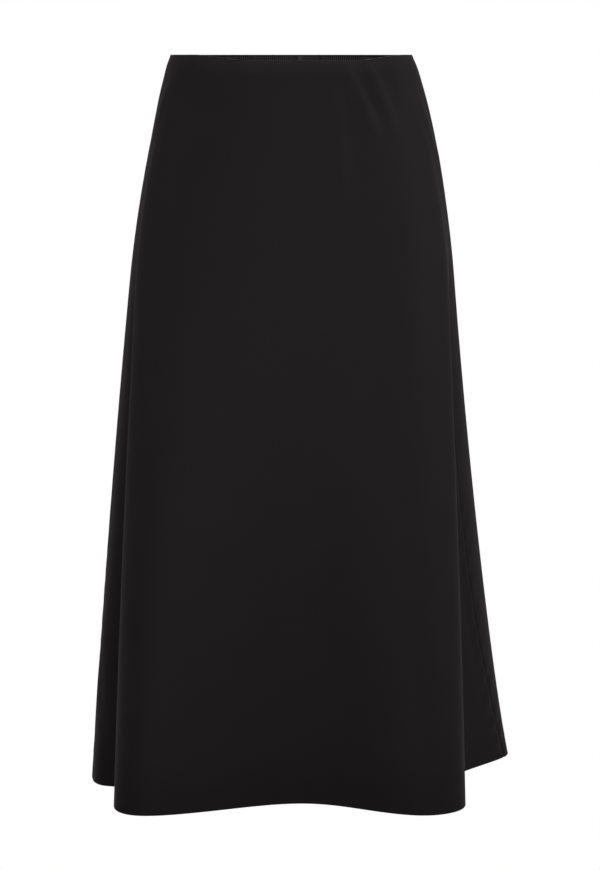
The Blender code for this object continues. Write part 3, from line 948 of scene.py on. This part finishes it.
def make_rib_tree():
    """A rib is an upright round bar, pressed to an oval, half sunk in the band."""
    tree, given, result = start_tree("upright_ribs", {"Rib height": 0.034, "Rib width": 0.0012,
                                                      "Rib rise": 0.0005})
    half = math_node(tree, "MULTIPLY", given.outputs["Rib height"], 0.5)
    back = math_node(tree, "MULTIPLY", given.outputs["Rib height"], -0.5)
    line = add_node(tree, "GeometryNodeCurvePrimitiveLine", Start=vector_of(tree, z=back),
                    End=vector_of(tree, z=half))
    line = add_node(tree, "GeometryNodeResampleCurve", Curve=line.outputs[0], Count=7)
    ring = add_node(tree, "GeometryNodeCurvePrimitiveCircle", Resolution=8, Radius=1.0)
    bar = add_node(tree, "GeometryNodeCurveToMesh", Curve=line.outputs[0],
                   Profile_Curve=ring.outputs[0], Fill_Caps=True)
    wide = math_node(tree, "MULTIPLY", given.outputs["Rib width"], 0.5)
    one = tree.nodes.new("ShaderNodeValue")
    one.outputs[0].default_value = 1.0
    place = tree.nodes.new("GeometryNodeInputPosition")
    shape = tree.nodes.new("ShaderNodeVectorMath")
    shape.operation = "MULTIPLY"
    tree.links.new(place.outputs[0], shape.inputs[0])
    oval = vector_of(tree, given.outputs["Rib rise"], wide, one.outputs[0])
    tree.links.new(oval, shape.inputs[1])
    shaped = add_node(tree, "GeometryNodeSetPosition", Geometry=bar.outputs[0],
                      Position=shape.outputs[0])
    lay_on_points(tree, given, shaped.outputs[0], result, ("Z", "lean"), ("X", "inward"))
    return tree


face_depth = ELASTIC_BACK + ELASTIC_WALL
rib_top = waist_ring(ELASTIC_DROP + RIB_TOP_GAP, face_depth, RIB_COUNT, 0.5)
rib_low = waist_ring(ELASTIC_DROP + ELASTIC_HEIGHT - RIB_LOW_GAP, face_depth, RIB_COUNT, 0.5)
deeper = waist_ring(ELASTIC_DROP + ELASTIC_HEIGHT / 2, face_depth + 1 * MM, RIB_COUNT, 0.5)
rib_middle = (rib_top + rib_low) / 2
elastic_ribs = run_tree("elastic_ribs", make_rib_tree(), rib_middle,
                        {"lean": unit(rib_top - rib_low), "inward": unit(deeper - rib_middle)},
                        RIB_PAINTED_HIGHLIGHT, Rib_height=float(np.linalg.norm(rib_top[0] - rib_low[0])),
                        Rib_width=RIB_WIDTH, Rib_rise=RIB_RISE)

# %% [markdown]
# ## The label
# A small blank satin tape is sewn to the top of the elastic, just to one side of the centre
# back. One upright edge is folded over, so it lies double and catches the light; that fold is
# painted lighter, a painted highlight.

# %% The blank tape
LABEL_WIDTH, LABEL_HEIGHT, LABEL_START, LABEL_FOLD = 22 * MM, 45 * MM, 6 * MM, 4 * MM
LABEL_WALL = 0.35 * MM
LABEL_DEPTH = 4.05 * MM
LABEL_OFF, FOLD_OFF, FOLD_BOW = 0.5 * MM, 0.95 * MM, 0.12 * MM
FOLD_COLUMNS = 7
RING_STEPS = 4000


def label_points(across, down, depth):
    """Points of the tape, counted from the centre back towards +X and down from its top."""
    grid = []
    for drop in down:
        ring = waist_ring(ELASTIC_DROP + min(drop, ELASTIC_HEIGHT), depth, RING_STEPS)
        length = np.linalg.norm(ring - np.roll(ring, 1, axis=0), axis=-1).sum()
        row = np.array([ring[-round((LABEL_START + a) / length * RING_STEPS)] for a in across])
        row[:, 2] -= max(drop - ELASTIC_HEIGHT, 0)
        grid.append(row)
    return np.array(grid)


def make_label(name):
    """The tape with its folded edge, which lies double with the satin side out, painted lighter as
    a painted highlight.
    """
    down = np.concatenate([[0], np.linspace(0.5 * MM, LABEL_HEIGHT - 0.5 * MM, 24), [LABEL_HEIGHT]])
    across = np.linspace(0, LABEL_WIDTH, 23)
    flat = label_points(across, down, LABEL_DEPTH)
    inward = unit(label_points(across, down, LABEL_DEPTH + 1 * MM) - flat)
    bow = 0.10 * MM * np.sin(down / MM / 6)[:, None] + 0.12 * MM * np.sin(across / MM / 4)[None]
    bow = bow * smooth_step(down / (8 * MM))[:, None]
    points = flat + inward * (LABEL_OFF + bow)[..., None]
    fold_across = np.linspace(0.02 * MM, LABEL_FOLD, FOLD_COLUMNS)
    fold = label_points(fold_across, down, LABEL_DEPTH)
    fold_in = unit(label_points(fold_across, down, LABEL_DEPTH + 1 * MM) - fold)
    lift = FOLD_OFF + FOLD_BOW * np.sin(np.pi * fold_across / LABEL_FOLD)
    bent = fold + fold_in * (lift[None] + bow[:, :FOLD_COLUMNS])[..., None]
    roll = (points[:, :1] + bent[:, :1]) / 2
    roll = roll - unit(points[:, 1:2] - points[:, :1]) * 0.25 * MM
    path = np.concatenate([bent[:, ::-1], roll, points], axis=1)
    piece = new_piece(name, grid_mesh(name, path, cloth_uv(path)), TAPE)
    # The fold takes the lighter satin material, a painted highlight along the folded edge.
    piece.data.materials.append(SATIN_PAINTED_HIGHLIGHT)
    columns = path.shape[1] - 1
    for face in piece.data.polygons:
        face.material_index = int(face.index % columns < FOLD_COLUMNS)
    piece.data.flip_normals()
    return thicken(piece, LABEL_WALL)


blank_label = make_label("blank_label")
print("label", triangles(blank_label))

# %% Stitches that hold the tape
TAPE_THREAD_DEPTH = LABEL_DEPTH + 0.75 * MM
TAPE_STITCH_PITCH, TAPE_STITCH_DROP = 2.4 * MM, 1.8 * MM


def label_thread(name):
    """One row of stitches across the top of the tape."""
    across = np.arange(LABEL_FOLD + 1.5 * MM, LABEL_WIDTH - 0.5 * MM, TAPE_STITCH_PITCH)
    down = np.array([TAPE_STITCH_DROP])
    here = label_points(across, down, TAPE_THREAD_DEPTH)[0]
    inward = label_points(across, down, TAPE_THREAD_DEPTH + 1 * MM)[0] - here
    ahead = label_points(across + 1 * MM, down, TAPE_THREAD_DEPTH)[0] - here
    return run_tree(name, STITCH_RUN, here, {"along": unit(ahead), "out": unit(inward)}, THREAD,
                    Stitch_length=0.0019, Thread_width=0.00035, Arch=0.0001)


thread_label = label_thread("thread_label")

# %% [markdown]
# ## The pieces on the one body
# Nothing on the skirt is hinged, so every piece rides on the one body. The solids that the
# pieces take the place of are hidden.

PIECES = {
    "black_cloth": [front_cloth, back_cloth, allowance_right, allowance_left, thread_right,
                    thread_left, hem_overlock, hem_blind],
    "black_elastic": [elastic_band, elastic_ribs],
    "black_tape": [blank_label, thread_label],
}
for finish_slot, pieces in PIECES.items():
    for piece in pieces:
        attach(piece, "root")
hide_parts("front_panel")
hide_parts("back_panel")
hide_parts("waist_elastic")
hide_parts("label")

print("pieces", sum(len(pieces) for pieces in PIECES.values()), "triangles",
      sum(triangles(piece) for pieces in PIECES.values() for piece in pieces))

# %% [markdown]
# ## Light, floor and background
# The skirt is photographed on plain white. World and floor are pure white only where the camera
# looks straight at them, through the Light Path node. The cloth itself gets almost no light from
# the world, because a white world would wash a black cloth out to grey. Large soft lights do the
# work: three in front, and one or two low at each side that graze the cloth, so that its folds
# show. One stands behind for the back of the skirt, and one below for its inside.

# %% White world and floor
WORLD_FILL = 0.03
FLOOR_LEVEL, FLOOR_REACH, FLOOR_GREY = -1.05, 20, 0.75


def white_to_camera(tree, output, soft_shader):
    """Pure white where the camera looks straight at it, and a softer light for the skirt."""
    path = tree.nodes.new("ShaderNodeLightPath")
    mix = tree.nodes.new("ShaderNodeMixShader")
    bright = tree.nodes.new("ShaderNodeEmission" if output.bl_idname.endswith("Material")
                            else "ShaderNodeBackground")
    bright.inputs[0].default_value = (1, 1, 1, 1)
    bright.inputs[1].default_value = 1.0
    tree.links.new(path.outputs["Is Camera Ray"], mix.inputs[0])
    tree.links.new(soft_shader.outputs[0], mix.inputs[1])
    tree.links.new(bright.outputs[0], mix.inputs[2])
    tree.links.new(mix.outputs[0], output.inputs["Surface"])
    return mix


world = bpy.data.worlds.new("studio")
world.use_nodes = True
bpy.context.scene.world = world
fill = world.node_tree.nodes["Background"]
fill.inputs[0].default_value = (1, 1, 1, 1)
fill.inputs[1].default_value = WORLD_FILL
white_to_camera(world.node_tree, world.node_tree.nodes["World Output"], fill)

floor_mesh = bpy.data.meshes.new("floor")
floor_mesh.from_pydata([(x * FLOOR_REACH, y * FLOOR_REACH, FLOOR_LEVEL)
                        for x, y in ((-1, -1), (1, -1), (1, 1), (-1, 1))], [], [(0, 1, 2, 3)])
pale = bpy.data.materials.new("pale_floor")
pale.use_nodes = True
pale_tree = pale.node_tree
pale_shader = pale_tree.nodes["Principled BSDF"]
pale_shader.inputs["Base Color"].default_value = (FLOOR_GREY, FLOOR_GREY, FLOOR_GREY, 1)
pale_out = pale_tree.nodes["Material Output"]
seen_white = white_to_camera(pale_tree, pale_out, pale_shader)

# %% A floor that is clear from below
clear = pale_tree.nodes.new("ShaderNodeBsdfTransparent")
side = pale_tree.nodes.new("ShaderNodeNewGeometry")
one_sided = pale_tree.nodes.new("ShaderNodeMixShader")
for source, socket in zip((side.outputs["Backfacing"], seen_white.outputs[0], clear.outputs[0]),
                          one_sided.inputs):
    pale_tree.links.new(source, socket)
pale_tree.links.new(one_sided.outputs[0], pale_out.inputs["Surface"])
floor = new_piece("floor", floor_mesh, pale)
print("floor at", FLOOR_LEVEL)

# %% Soft lights
# Where each light stands: degrees round from the front towards the right, degrees up, metres
# away from the point it aims at, which is on the axis of the skirt at the last height
#  name           round   up   away   size   power   aims at
LIGHTS = [
    ("front",          0,    4,  1.15,  0.9,   2.9,   -0.25),
    ("front_left",   -20,    5,  2.3,   1.1,   1.4,   -0.35),
    ("over_front",     5,   42,  1.3,   0.7,   2.3,    0.00),
    ("right",         72,   10,  1.6,   0.8,   5.0,   -0.20),
    ("right_near",    95,   22,  1.2,   0.5,   1.0,    0.05),
    ("left",         -72,   15,  1.6,   0.8,   3.3,   -0.12),
    ("back",         180,   28,  3.5,   1.0,  32.0,   -0.35),
    ("under",          0,  -90,  0.55,  0.2,   1.2,   -0.45),
]
for name, turn, up, distance, size, power, aim in LIGHTS:
    turn, up = math.radians(turn), math.radians(up)
    light = bpy.data.lights.new(name, "AREA")
    light.shape, light.size, light.energy = "DISK", size, power
    lamp = bpy.data.objects.new(name, light)
    lamp.location = (distance * math.sin(turn) * math.cos(up),
                     -distance * math.cos(turn) * math.cos(up), aim + distance * math.sin(up))
    lamp.rotation_euler = (math.pi / 2 - up, 0, turn)
    bpy.context.collection.objects.link(lamp)
bpy.context.scene.view_settings.view_transform = "Standard"
print("lights", [row[0] for row in LIGHTS])
